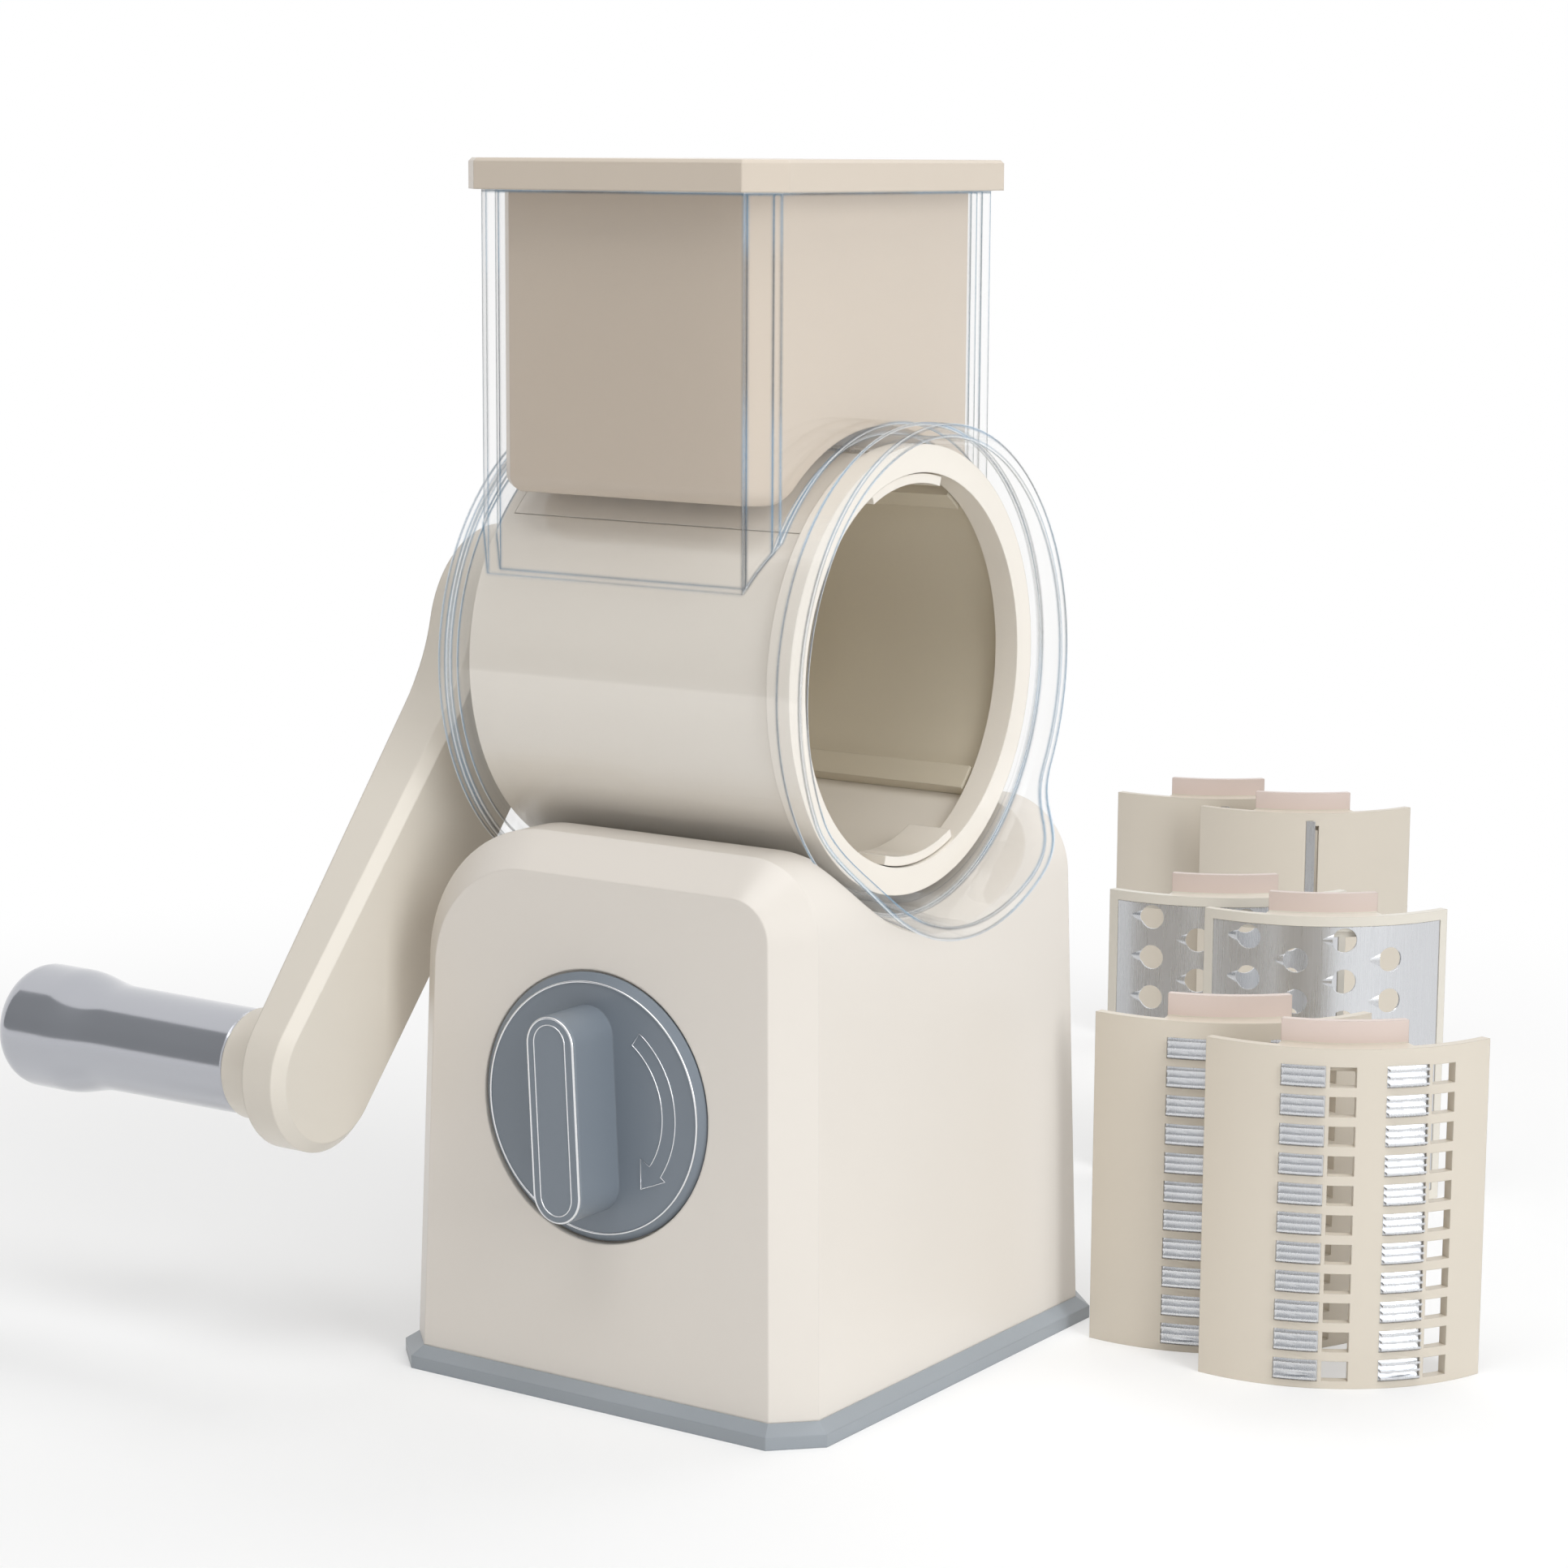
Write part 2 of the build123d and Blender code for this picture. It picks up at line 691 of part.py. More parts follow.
def make_drive_shaft():
    crank_end = crank_inner_face - shaft_in_crank
    bearing_start = crank_inner_face + 1
    shaft = rod_x(shaft_radius, bearing_start, drum_start - snug_fit)
    shaft += Rot(-crank_turn, 0, 0) * hex_x(hex_size, crank_end, bearing_start + 1)
    shaft += hex_x(hex_size, drum_start - 1, drum_start + shaft_in_drum)
    return raised(shaft - rod_x(crank_screw_radius, crank_end, crank_end + crank_screw_length))


def make_thrust_washer():
    start = sleeve_start - hub_length - washer_thickness - 0.1
    ring = rod_x(washer_radius, start, start + washer_thickness)
    return raised(ring - rod_x(shaft_radius + running_fit, start, start + washer_thickness))


def swung(shape):
    # from hanging straight down to the crank's resting turn
    return raised(Rot(-crank_turn, 0, 0) * shape)


def make_crank_arm():
    hub = Circle(crank_hub_radius)
    arm = Pos(0, -crank_length / 2) * Rectangle(2 * crank_half_width, crank_length)
    end = Pos(0, -crank_length) * Circle(crank_half_width)
    outline = hub + arm + end
    hollow_corners = [v for v in outline.vertices()
                      if -crank_hub_radius < v.Y < -crank_hub_radius / 3]
    outline = fillet(hollow_corners, crank_blend)
    outer_face = crank_inner_face - crank_hub_thickness
    body = extrude(Plane.YZ.offset(outer_face) * outline, amount=crank_hub_thickness)
    thin_face = crank_inner_face - crank_end_thickness
    low = -crank_length - crank_half_width - 1
    high = -crank_hub_radius
    wedge = make_face(Polyline((outer_face, high), (thin_face, low), (outer_face - 1, low),
                               (outer_face - 1, high), close=True))
    body -= extrude(Plane.XZ * wedge, amount=crank_hub_radius * 2, both=True)
    inner_edges = body.faces().sort_by(Axis.X)[-1].edges()
    body = chamfer(inner_edges, crank_inner_chamfer)
    boss_end = sleeve_start - hub_length - washer_thickness - face_gap
    body += rod_x(crank_boss_radius, crank_inner_face - 1, boss_end)
    collar_end_x = thin_face - collar_boss_length
    collar = rod_x(collar_boss_radius, collar_end_x, crank_inner_face - 4, 0, -crank_length)
    body += chamfer(collar.edges().group_by(Axis.X)[0], grip_edge)
    pin_end = collar_end_x + collar_boss_length + pin_depth
    body -= rod_x(pin_radius, collar_end_x, pin_end, 0, -crank_length)
    body -= rod_x(shaft_radius + snug_fit, crank_inner_face, boss_end)
    socket_end = crank_inner_face - shaft_in_crank - snug_fit
    body -= hex_x(hex_size + 2 * snug_fit, socket_end, crank_inner_face + 1)
    seat = socket_end - 1.5
    body -= rod_x(crank_screw_radius + snug_fit, outer_face - 1, socket_end)
    body -= rod_x(crank_screw_head_radius + snug_fit, outer_face - 1, seat)
    body -= rod_x(cap_radius + snug_fit, outer_face - 1, outer_face + cap_thickness)
    return swung(body)


def make_crank_screw():
    seat = crank_inner_face - shaft_in_crank - snug_fit - 1.5
    tip = crank_inner_face - shaft_in_crank + crank_screw_length - 1
    screw = rod_x(crank_screw_head_radius, seat - crank_screw_head_height, seat)
    screw += rod_x(crank_screw_radius - 0.05, seat, tip)
    return raised(screw - hex_x(4, seat - crank_screw_head_height, seat - crank_screw_head_height + 1.8))


def make_hub_cap():
    outer_face = crank_inner_face - crank_hub_thickness
    cap = rod_x(cap_radius, outer_face, outer_face + cap_thickness)
    return raised(chamfer(cap.edges().sort_by(Axis.X)[0], 0.5))


def grip_start():
    return crank_inner_face - crank_end_thickness - collar_boss_length - face_gap


def make_grip_pin():
    head_start = grip_start() - pin_length
    pin_end = crank_inner_face - crank_end_thickness + pin_depth
    pin = rod_x(pin_radius - 0.02, head_start, pin_end - 0.1, 0, -crank_length)
    head = Pos(head_start + pin_head_length / 2, 0, -crank_length) * Rot(0, 90, 0) * Cone(
        pin_radius - 0.5, pin_head_radius, pin_head_length)
    return swung(pin + head)


def make_grip():
    start = grip_start()
    end = start - grip_length
    face_start = end + 1.2
    shoulder = end + grip_end_round
    slant = grip_end_round * sqrt(0.5)
    rounding = ThreePointArc(
        (shoulder, grip_flare_radius),
        (shoulder - slant, grip_flare_radius - grip_end_round + slant),
        (end, grip_flare_radius - grip_end_round))
    outline = [
        Line((start, 0), (start, grip_inner_radius - grip_edge)),
        Line((start, grip_inner_radius - grip_edge), (start - grip_edge, grip_inner_radius)),
        Line((start - grip_edge, grip_inner_radius), (start - grip_waist, grip_waist_radius)),
        Spline((start - grip_waist, grip_waist_radius), (start - grip_flare, grip_flare_radius),
               tangents=[(-1, 0), (-1, 0)]),
        Line((start - grip_flare, grip_flare_radius), (shoulder, grip_flare_radius)),
        rounding,
        Line((end, grip_flare_radius - grip_end_round), (face_start, 0)),
        Line((face_start, 0), (start, 0)),
    ]
    body = revolve(Plane.XY * make_face(outline), Axis.X)
    body = Pos(0, 0, -crank_length) * body
    head_start = start - pin_length
    body -= rod_x(pin_radius + running_fit, head_start, start, 0, -crank_length)
    pocket_end = head_start + pin_head_length + 0.3
    body -= rod_x(pin_head_radius + 0.1, head_start - 0.4, pocket_end, 0, -crank_length)
    return swung(body)


# ---- pusher ----

def pusher_column(inset, low, high):
    cut = 2 * (hopper_wall + pusher_clearance + inset)
    corner = pusher_corner - inset * (2 - sqrt(2))
    return column(hopper_length - cut, hopper_width - cut, corner, low, high, hopper_x, hopper_y)


def make_pusher_body():
    body = pusher_column(0, pusher_bottom, hopper_top)
    bottom = body.faces().sort_by(Axis.Z)[0].edges()
    body = fillet(bottom, pusher_edge_round)
    relief = ring_radius + pusher_drum_gap
    body -= raised(rod_x(relief, -hopper_length, hopper_length))
    hollow = pusher_column(pusher_wall, pusher_bottom + pusher_wall, hopper_top)
    hollow -= raised(rod_x(relief + pusher_wall, -hopper_length, hopper_length))
    return body - hollow


def make_pusher_lid():
    lid = column(hopper_length + 2 * lid_overhang, hopper_width + 2 * lid_overhang, lid_corner,
                 hopper_top, hopper_top + lid_height, hopper_x, hopper_y)
    lid = chamfer(lid.faces().sort_by(Axis.Z)[-1].edges(), lid_edge)
    plug_low = hopper_top - lid_plug_height
    plug = pusher_column(pusher_wall + snug_fit, plug_low, hopper_top)
    return lid + plug - pusher_column(2 * pusher_wall, plug_low, hopper_top)


# ---- build and write ----

def write(name, shape):
    export_step(shape, f"parts/{name}.step")


write("base_housing", make_base_housing())
write("foot_plate", make_foot_plate())
write("base_screws", make_base_screws())
write("suction_cup", make_suction_cup())
write("suction_plunger", make_plunger())
write("cam_spindle", make_cam_spindle())
write("spindle_clip", make_spindle_clip())
write("suction_knob", make_suction_knob())
write("drum_housing", make_drum_housing())
write("shaft_bush", make_shaft_bush())
write("drum_body", make_drum_body())
write("drive_shaft", make_drive_shaft())
write("thrust_washer", make_thrust_washer())
write("crank_arm", make_crank_arm())
write("crank_screw", make_crank_screw())
write("hub_cap", make_hub_cap())
write("grip_pin", make_grip_pin())
write("grip", make_grip())
write("pusher_body", make_pusher_body())
write("pusher_lid", make_pusher_lid())

slicer, slicer_blade = slicer_parts()
for name, turn in (("top", window_turn), ("bottom", window_turn + 180)):
    write(f"fitted_slicer_{name}", fitted(slicer, turn))
    write(f"fitted_blade_{name}", fitted(slicer_blade, turn))

kinds = (
    ("julienne_plate", "julienne_blades", julienne_parts()),
    ("shredder_frame", "shredder_sheet", shredder_parts()),
    ("slicer_plate", "slicer_blade", (slicer, slicer_blade)),
)
for row, (plate_name, metal_name, shapes) in enumerate(kinds):
    for number, step in ((1, 0), (2, 1)):
        side = display_side[row] - step * pair_side
        depth = display_depth[row] + step * pair_depth
        for name, shape in zip((plate_name, metal_name), shapes):
            write(f"{name}_{number}", standing(shape, side, depth))
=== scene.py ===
import json
import math

import bpy
from mathutils import Matrix, Vector


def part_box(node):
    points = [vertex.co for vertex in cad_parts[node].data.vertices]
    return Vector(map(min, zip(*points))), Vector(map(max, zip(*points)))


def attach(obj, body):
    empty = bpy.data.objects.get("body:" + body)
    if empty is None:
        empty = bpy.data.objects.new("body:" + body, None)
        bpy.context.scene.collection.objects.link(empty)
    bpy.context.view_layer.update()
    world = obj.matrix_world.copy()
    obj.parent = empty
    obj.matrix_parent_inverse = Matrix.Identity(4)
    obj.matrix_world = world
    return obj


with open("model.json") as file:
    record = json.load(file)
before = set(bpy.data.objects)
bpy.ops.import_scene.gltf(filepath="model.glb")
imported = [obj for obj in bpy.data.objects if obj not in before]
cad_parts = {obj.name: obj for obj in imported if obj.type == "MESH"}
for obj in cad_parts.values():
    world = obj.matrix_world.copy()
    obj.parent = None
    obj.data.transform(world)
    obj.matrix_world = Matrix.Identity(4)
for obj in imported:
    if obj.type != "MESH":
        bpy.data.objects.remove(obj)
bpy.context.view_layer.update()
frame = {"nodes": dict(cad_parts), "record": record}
nodes = frame["nodes"]
print("frame loaded", len(nodes), "nodes")


# one number that a shader works out, written with ordinary signs
class Field:
    def __init__(self, tree, socket):
        self.tree = tree
        self.socket = socket

    def reckon(self, operation, left, right):
        node = self.tree.nodes.new("ShaderNodeMath")
        node.operation = operation
        for number, value in enumerate((left, right)):
            if isinstance(value, Field):
                self.tree.links.new(value.socket, node.inputs[number])
            else:
                node.inputs[number].default_value = value
        return Field(self.tree, node.outputs[0])

    def __add__(self, other):
        return self.reckon("ADD", self, other)

    def __radd__(self, other):
        return self.reckon("ADD", other, self)

    def __sub__(self, other):
        return self.reckon("SUBTRACT", self, other)

    def __rsub__(self, other):
        return self.reckon("SUBTRACT", other, self)

    def __mul__(self, other):
        return self.reckon("MULTIPLY", self, other)

    def __rmul__(self, other):
        return self.reckon("MULTIPLY", other, self)

    def __pow__(self, other):
        return self.reckon("POWER", self, other)

    def __gt__(self, other):
        return self.reckon("GREATER_THAN", self, other)


# a node material with a Principled shader
class Finish:
    def __init__(self, name):
        self.material = bpy.data.materials.new(name)
        self.material.use_nodes = True
        self.tree = self.material.node_tree
        self.shader = self.tree.nodes["Principled BSDF"]
        self.place = self.add("ShaderNodeTexCoord").outputs["Object"]

    def add(self, kind, settings=None, **values):
        node = self.tree.nodes.new(kind)
        for key, value in (settings or {}).items():
            setattr(node, key, value)
        for key, value in values.items():
            self.give(node.inputs[key.replace("_", " ")], value)
        return node

    def give(self, socket, value):
        if isinstance(value, Field):
            value = value.socket
        if isinstance(value, bpy.types.NodeSocket):
            self.tree.links.new(value, socket)
        else:
            socket.default_value = value

    def setup(self, **values):
        for key, value in values.items():
            self.give(self.shader.inputs[key.replace("_", " ")], value)

    def stretched(self, scale):
        return self.add("ShaderNodeMapping", Vector=self.place, Scale=scale).outputs["Vector"]

    def noise(self, scale, detail, place=None):
        node = self.add("ShaderNodeTexNoise", Vector=place or self.place, Scale=scale, Detail=detail)
        return Field(self.tree, node.outputs["Fac"])

    def blend(self, amount, first, second):
        node = self.add("ShaderNodeMix", {"data_type": "RGBA"})
        self.give(node.inputs[0], amount)
        self.give(node.inputs[6], first)
        self.give(node.inputs[7], second)
        return node.outputs[2]  # 6, 7 and 2 are the colour sockets

    def bump(self, height, strength, distance, normal=None):
        node = self.add("ShaderNodeBump", Height=height, Strength=strength, Distance=distance)
        if normal is not None:
            self.give(node.inputs["Normal"], normal)
        return node.outputs["Normal"]

    # 0 below low, 1 above high, smooth between them
    def ramp(self, value, low, high):
        node = self.add("ShaderNodeMapRange", {"interpolation_type": "SMOOTHSTEP"},
                        Value=value, From_Min=low, From_Max=high)
        return Field(self.tree, node.outputs["Result"])

    def along(self, axis):
        return Field(self.tree, self.add("ShaderNodeSeparateXYZ", Vector=self.place).outputs[axis])

    def softEdge(self, radius):
        return self.add("ShaderNodeBevel", {"samples": 4}, Radius=radius).outputs["Normal"]


def shade(colour, factor=1.0):
    return tuple(min(1.0, part * factor) for part in colour) + (1.0,)


# what all moulded plastics share, lengths in metres
moulded = {"tint": 0.02, "cloudDetail": 2.0, "cloudRoughness": 0.06,
           "grainDetail": 4.0, "grainRoughness": 0.08, "grainDepth": 0.0002,
           "ior": 1.46, "coatRoughness": 0.08, "tipBlend": 0.0002, "boreBlend": 0.0004}


# 1 on the wall inside the drum, 0 outside it and on its ring: where the painted shade goes
def boreShadeMask(finish, look):
    rise = finish.along("Z") - look["boreHeight"]
    reach = (finish.along("Y") ** 2.0 + rise ** 2.0) ** 0.5
    length = finish.along("X")
    start, end = look["boreEnds"]
    soft = moulded["boreBlend"]
    outside = finish.ramp(reach, look["boreRadius"], look["boreRadius"] + soft)
    pastStart = finish.ramp(length, start, start + soft)
    pastEnd = finish.ramp(length, end, end + soft)
    return (1.0 - outside) * pastStart * (1.0 - pastEnd)


def mouldedPlastic(name, look):
    finish = Finish(name)
    cloud = finish.noise(look["cloudScale"], moulded["cloudDetail"])
    grain = finish.noise(look["grainScale"], moulded["grainDetail"])
    dark = shade(look["colour"], 1.0 - moulded["tint"])
    light = shade(look["colour"], 1.0 + moulded["tint"])
    colour = finish.blend(cloud, dark, light)
    if "tipColour" in look:
        tip = finish.ramp(finish.along("Z"), look["tipStart"], look["tipStart"] + moulded["tipBlend"])
        colour = finish.blend(tip, colour, shade(look["tipColour"]))
    # painted shade: the wall inside the drum darker, as if in its own shade
    if "boreShadeColour" in look:
        colour = finish.blend(boreShadeMask(finish, look), colour, shade(look["boreShadeColour"]))
    roughness = look["roughness"] + (cloud - 0.5) * moulded["cloudRoughness"]
    roughness = roughness + (grain - 0.5) * moulded["grainRoughness"]
    normal = finish.bump(grain, look["grain"], moulded["grainDepth"], finish.softEdge(look["edge"]))
    finish.setup(Base_Color=colour, Roughness=roughness, Normal=normal)
    finish.setup(IOR=moulded["ior"], Coat_Roughness=moulded["coatRoughness"])
    finish.setup(Coat_Weight=look.get("coat", 0.0), Metallic=look.get("metallic", 0.0))
    return finish.material


# what all steels share, lengths in metres
steel = {"darkLine": 0.94, "lightLine": 1.05, "lineDetail": 3.0, "lineRoughness": 0.14, "lineDepth": 0.0001,
         "cloudScale": 60.0, "cloudDetail": 2.0, "cloudRoughness": 0.08, "edge": 0.0001}


def sheetSteel(name, look):
    finish = Finish(name)
    lines = finish.noise(1.0, steel["lineDetail"], finish.stretched(look["lines"]))
    cloud = finish.noise(steel["cloudScale"], steel["cloudDetail"])
    dark = shade(look["colour"], steel["darkLine"])
    light = shade(look["colour"], steel["lightLine"])
    colour = finish.blend(lines, dark, light)
    roughness = look["roughness"] + (lines - 0.5) * steel["lineRoughness"]
    roughness = roughness + (cloud - 0.5) * steel["cloudRoughness"]
    normal = finish.bump(lines, look["grain"], steel["lineDepth"], finish.softEdge(steel["edge"]))
    finish.setup(Base_Color=colour, Roughness=roughness, Normal=normal, Metallic=1.0)
    return finish.material


# see-through but for its gloss at a slant; its edges drawn as blue-tinted lines of painted shade with a white
# painted highlight in their middle, and its walls seen at a slant darkened with painted shade
def clearPlastic(name, look):
    finish = Finish(name)
    ripple = finish.noise(look["rippleScale"], look["rippleDetail"])
    slant = Field(finish.tree, finish.add("ShaderNodeLayerWeight", Blend=0.5).outputs["Facing"])
    turned = finish.add("ShaderNodeVectorMath", {"operation": "DOT_PRODUCT"})
    finish.give(turned.inputs[0], finish.softEdge(look["edge"]))
    finish.give(turned.inputs[1], finish.add("ShaderNodeNewGeometry").outputs["True Normal"])
    bend = 1.0 - Field(finish.tree, turned.outputs["Value"])  # 0 on a flat, up to 0.3 on an edge
    edge = finish.ramp(bend, *look["lineBend"])
    highlightCore = finish.ramp(bend, *look["highlightBend"])
    rim = finish.ramp(slant, *look["rimSlant"])
    drift = finish.ramp(finish.noise(look["driftScale"], look["rippleDetail"]), *look["driftRange"])
    # painted shade along the edges, tinted blue
    shadeLine = finish.blend(drift, shade(look["edgeShadeColour"]), shade(look["deepShadeColour"]))
    colour = finish.blend(edge, shade(look["colour"]), shadeLine)
    # painted shade on walls seen at a slant
    colour = finish.blend(rim * look["rimShare"], colour, shade(look["rimShadeColour"]))
    # a white painted highlight in the middle of each edge line
    colour = finish.blend(highlightCore, colour, shade(look["colour"]))
    solid = look["gloss"] + slant ** look["slantPower"] * look["slantGloss"] + edge * look["edgeSolid"]
    dull = edge + rim * (1.0 - edge)
    roughness = look["roughness"] + ripple * look["rippleRoughness"] + dull * look["dullness"]
    normal = finish.bump(ripple, look["ripple"], look["rippleDepth"])
    finish.setup(Base_Color=colour, Roughness=roughness, Alpha=solid)
    finish.setup(Normal=normal, Metallic=look["metallic"] * (1.0 - dull))
    return finish.material


beige = {"colour": (0.772, 0.724, 0.664), "cloudScale": 14.0, "grainScale": 1800.0,
         "grain": 0.05, "roughness": 0.34, "edge": 0.0007, "coat": 0.1}
# a darker copy of the beige: painted shade on the crank arm
shadedArmBeige = dict(beige, colour=(0.735, 0.685, 0.605))
# a lighter copy of the beige: painted light on the drum and the fitted plates behind the clear housing
litDrumBeige = {"colour": (0.860, 0.805, 0.725), "cloudScale": 16.0, "grainScale": 1800.0,
             "grain": 0.02, "roughness": 0.20, "edge": 0.0004, "coat": 0.5}
drumEnds = [corner[0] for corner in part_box("drum_body")]
# the drum body: the lighter painted-light beige, with painted shade on the wall inside it
litDrumShadedBore = dict(litDrumBeige, boreShadeColour=(0.660, 0.595, 0.475), boreHeight=0.168, boreRadius=0.0487,
                 boreEnds=(drumEnds[0] + 0.0016, drumEnds[1] - 0.0066))  # short of the drum's end faces
pusherBeige = {"colour": (0.645, 0.550, 0.450), "cloudScale": 16.0, "grainScale": 1800.0,
               "grain": 0.04, "roughness": 0.32, "edge": 0.0006, "coat": 0.1}
lidBeige = dict(pusherBeige, colour=(0.645, 0.565, 0.475))
insertBeige = {"colour": (0.680, 0.620, 0.530), "cloudScale": 22.0, "grainScale": 2200.0,
               "grain": 0.05, "roughness": 0.34, "edge": 0.0003,
               "tipColour": (0.700, 0.590, 0.540), "tipStart": 0.0822}  # the tabs' tips
frameBeige = dict(insertBeige, colour=(0.760, 0.720, 0.640))
blueGrey = {"colour": (0.205, 0.237, 0.275), "cloudScale": 18.0, "grainScale": 2400.0,
            "grain": 0.08, "roughness": 0.36, "edge": 0.0005, "coat": 0.1}
footGrey = dict(blueGrey, colour=(0.320, 0.350, 0.380))
innerWhite = {"colour": (0.70, 0.70, 0.68), "cloudScale": 20.0, "grainScale": 1800.0,
              "grain": 0.06, "roughness": 0.45, "edge": 0.0003}
gripGrey = {"colour": (0.470, 0.480, 0.515), "cloudScale": 20.0, "grainScale": 2600.0,
            "grain": 0.01, "roughness": 0.14, "edge": 0.0004, "coat": 0.3, "metallic": 0.85}
darkRubber = {"colour": (0.030, 0.031, 0.034), "cloudScale": 30.0, "grainScale": 1500.0,
              "grain": 0.15, "roughness": 0.70, "edge": 0.0003}
bladeSteel = {"colour": (0.66, 0.67, 0.69), "lines": (3000.0, 3000.0, 60.0), "roughness": 0.28, "grain": 0.08}
zincSteel = {"colour": (0.55, 0.56, 0.58), "lines": (60.0, 2500.0, 2500.0), "roughness": 0.35, "grain": 0.08}
silver = {"colour": (0.80, 0.81, 0.83), "lines": (900.0, 900.0, 900.0), "roughness": 0.22, "grain": 0.02}
# the edge, deep and rim colours are painted shade; the plain colour comes back as a painted highlight on each
# edge
clear = {"colour": (0.97, 0.99, 1.00), "edgeShadeColour": (0.07, 0.21, 0.36), "deepShadeColour": (0.015, 0.03, 0.05),
         "rimShadeColour": (0.09, 0.12, 0.15), "rimShare": 0.9, "rimSlant": (0.80, 0.97),
         "roughness": 0.02, "dullness": 0.45, "metallic": 0.8,
         "gloss": 0.05, "slantGloss": 0.65, "slantPower": 5.0,
         "edge": 0.0014, "edgeSolid": 0.95, "lineBend": (0.002, 0.03), "highlightBend": (0.24, 0.29),
         "driftScale": 22.0, "driftRange": (0.42, 0.58), "rippleScale": 30.0, "rippleDetail": 1.0,
         "ripple": 0.02, "rippleDepth": 0.0005, "rippleRoughness": 0.01}

# the finish of each material slot of the record
slotFinish = {
    "beige_plastic": mouldedPlastic("beigePlastic", beige),
    "insert_plastic": mouldedPlastic("insertPlastic", insertBeige),
    "blue_grey_plastic": mouldedPlastic("blueGreyPlastic", blueGrey),
    "inner_plastic": mouldedPlastic("innerPlastic", innerWhite),
    "grip_plastic": mouldedPlastic("gripPlastic", gripGrey),
    "rubber": mouldedPlastic("darkRubber", darkRubber),
    "blade_steel": sheetSteel("bladeSteel", bladeSteel),
    "zinc_steel": sheetSteel("zincSteel", zincSteel),
    "clear_plastic": clearPlastic("clearPlastic", clear),
}
# silver for the knob's print lines and for its painted highlight lines
silverTrimAndHighlight = sheetSteel("silverTrimAndHighlight", silver)
# painted light: the lighter drum beige, also worn by the fitted plates
litDrumPlastic = mouldedPlastic("litDrumPlastic", litDrumBeige)
framePlastic = mouldedPlastic("framePlastic", frameBeige)

# pieces with a colour of their own: the drum and fitted plates a lighter copy with painted light, the wall
# inside the drum with painted shade, the crank arm a darker copy with painted shade
ownFinish = {
    # painted light on the drum, painted shade on the wall inside it
    "drum_body": mouldedPlastic("litDrumShadedBorePlastic", litDrumShadedBore),
    # painted light: the fitted plates in the lighter drum beige
    "fitted_slicer_top": litDrumPlastic,
    "fitted_slicer_bottom": litDrumPlastic,
    "pusher_body": mouldedPlastic("pusherPlastic", pusherBeige),
    "pusher_lid": mouldedPlastic("lidPlastic", lidBeige),
    "shredder_frame_1": framePlastic,
    "shredder_frame_2": framePlastic,
    "foot_plate": mouldedPlastic("footPlastic", footGrey),
    # painted shade: the crank arm in a darker copy of the beige
    "crank_arm": mouldedPlastic("shadedArmPlastic", shadedArmBeige),
}
slotOf = {part["node"]: part["material_slot"] for part in frame["record"]["subparts"]}
for name, node in nodes.items():
    material = ownFinish.get(name, slotFinish[slotOf[name]])
    if not node.material_slots:
        node.data.materials.append(material)
    for place in node.material_slots:
        place.material = material
print("materials", len(bpy.data.materials))


# a line of fixed width that follows a curve
def trimLineTree(name):
    tree = bpy.data.node_groups.new(name, "GeometryNodeTree")
    sockets = tree.interface
    sockets.new_socket("Geometry", in_out="INPUT", socket_type="NodeSocketGeometry")
    width = sockets.new_socket("Width", in_out="INPUT", socket_type="NodeSocketFloat")
    finish = sockets.new_socket("Finish", in_out="INPUT", socket_type="NodeSocketMaterial")
    sockets.new_socket("Geometry", in_out="OUTPUT", socket_type="NodeSocketGeometry")
    start = tree.nodes.new("NodeGroupInput")
    end = tree.nodes.new("NodeGroupOutput")
    half = tree.nodes.new("ShaderNodeMath")
    half.operation = "MULTIPLY"
    half.inputs[1].default_value = 0.5
    profile = tree.nodes.new("GeometryNodeCurvePrimitiveCircle")
    profile.inputs["Resolution"].default_value = 8  # sides of the round section
    sweep = tree.nodes.new("GeometryNodeCurveToMesh")
    plain = tree.nodes.new("GeometryNodeRealizeInstances")
    painted = tree.nodes.new("GeometryNodeSetMaterial")
    join = tree.links.new
    join(start.outputs["Geometry"], sweep.inputs["Curve"])
    join(start.outputs["Width"], half.inputs[0])
    join(half.outputs[0], profile.inputs["Radius"])
    join(profile.outputs["Curve"], sweep.inputs["Profile Curve"])
    join(sweep.outputs["Mesh"], plain.inputs["Geometry"])
    join(plain.outputs["Geometry"], painted.inputs["Geometry"])
    join(start.outputs["Finish"], painted.inputs["Material"])
    join(painted.outputs["Geometry"], end.inputs["Geometry"])
    return tree, width.identifier, finish.identifier


lineTree, widthKey, finishKey = trimLineTree("trimLine")
mm = 0.001


def addPiece(name, data):
    piece = bpy.data.objects.new(name, data)
    bpy.context.scene.collection.objects.link(piece)
    return piece


# a closed silver line through points in millimetres, which moves with a body; the knob's print, and painted
# highlights on its rim and chamfer
def trimLine(name, points, width, body):
    curve = bpy.data.curves.new(name + "Path", "CURVE")
    curve.dimensions = "3D"
    spline = curve.splines.new("POLY")
    spline.points.add(len(points) - 1)
    for point, place in zip(spline.points, points):
        point.co = (*(part * mm for part in place), 1.0)
    spline.use_cyclic_u = True
    path = addPiece(name + "Path", curve)
    sweep = path.modifiers.new("trimLine", "NODES")
    sweep.node_group = lineTree
    sweep[widthKey] = width * mm
    sweep[finishKey] = silverTrimAndHighlight
    bpy.context.view_layer.update()
    drawn = path.evaluated_get(bpy.context.evaluated_depsgraph_get())
    mesh = bpy.data.meshes.new_from_object(drawn)
    mesh.name = name
    bpy.data.objects.remove(path)
    for polygon in mesh.polygons:
        polygon.use_smooth = True
    piece = addPiece(name, mesh)
    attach(piece, body)


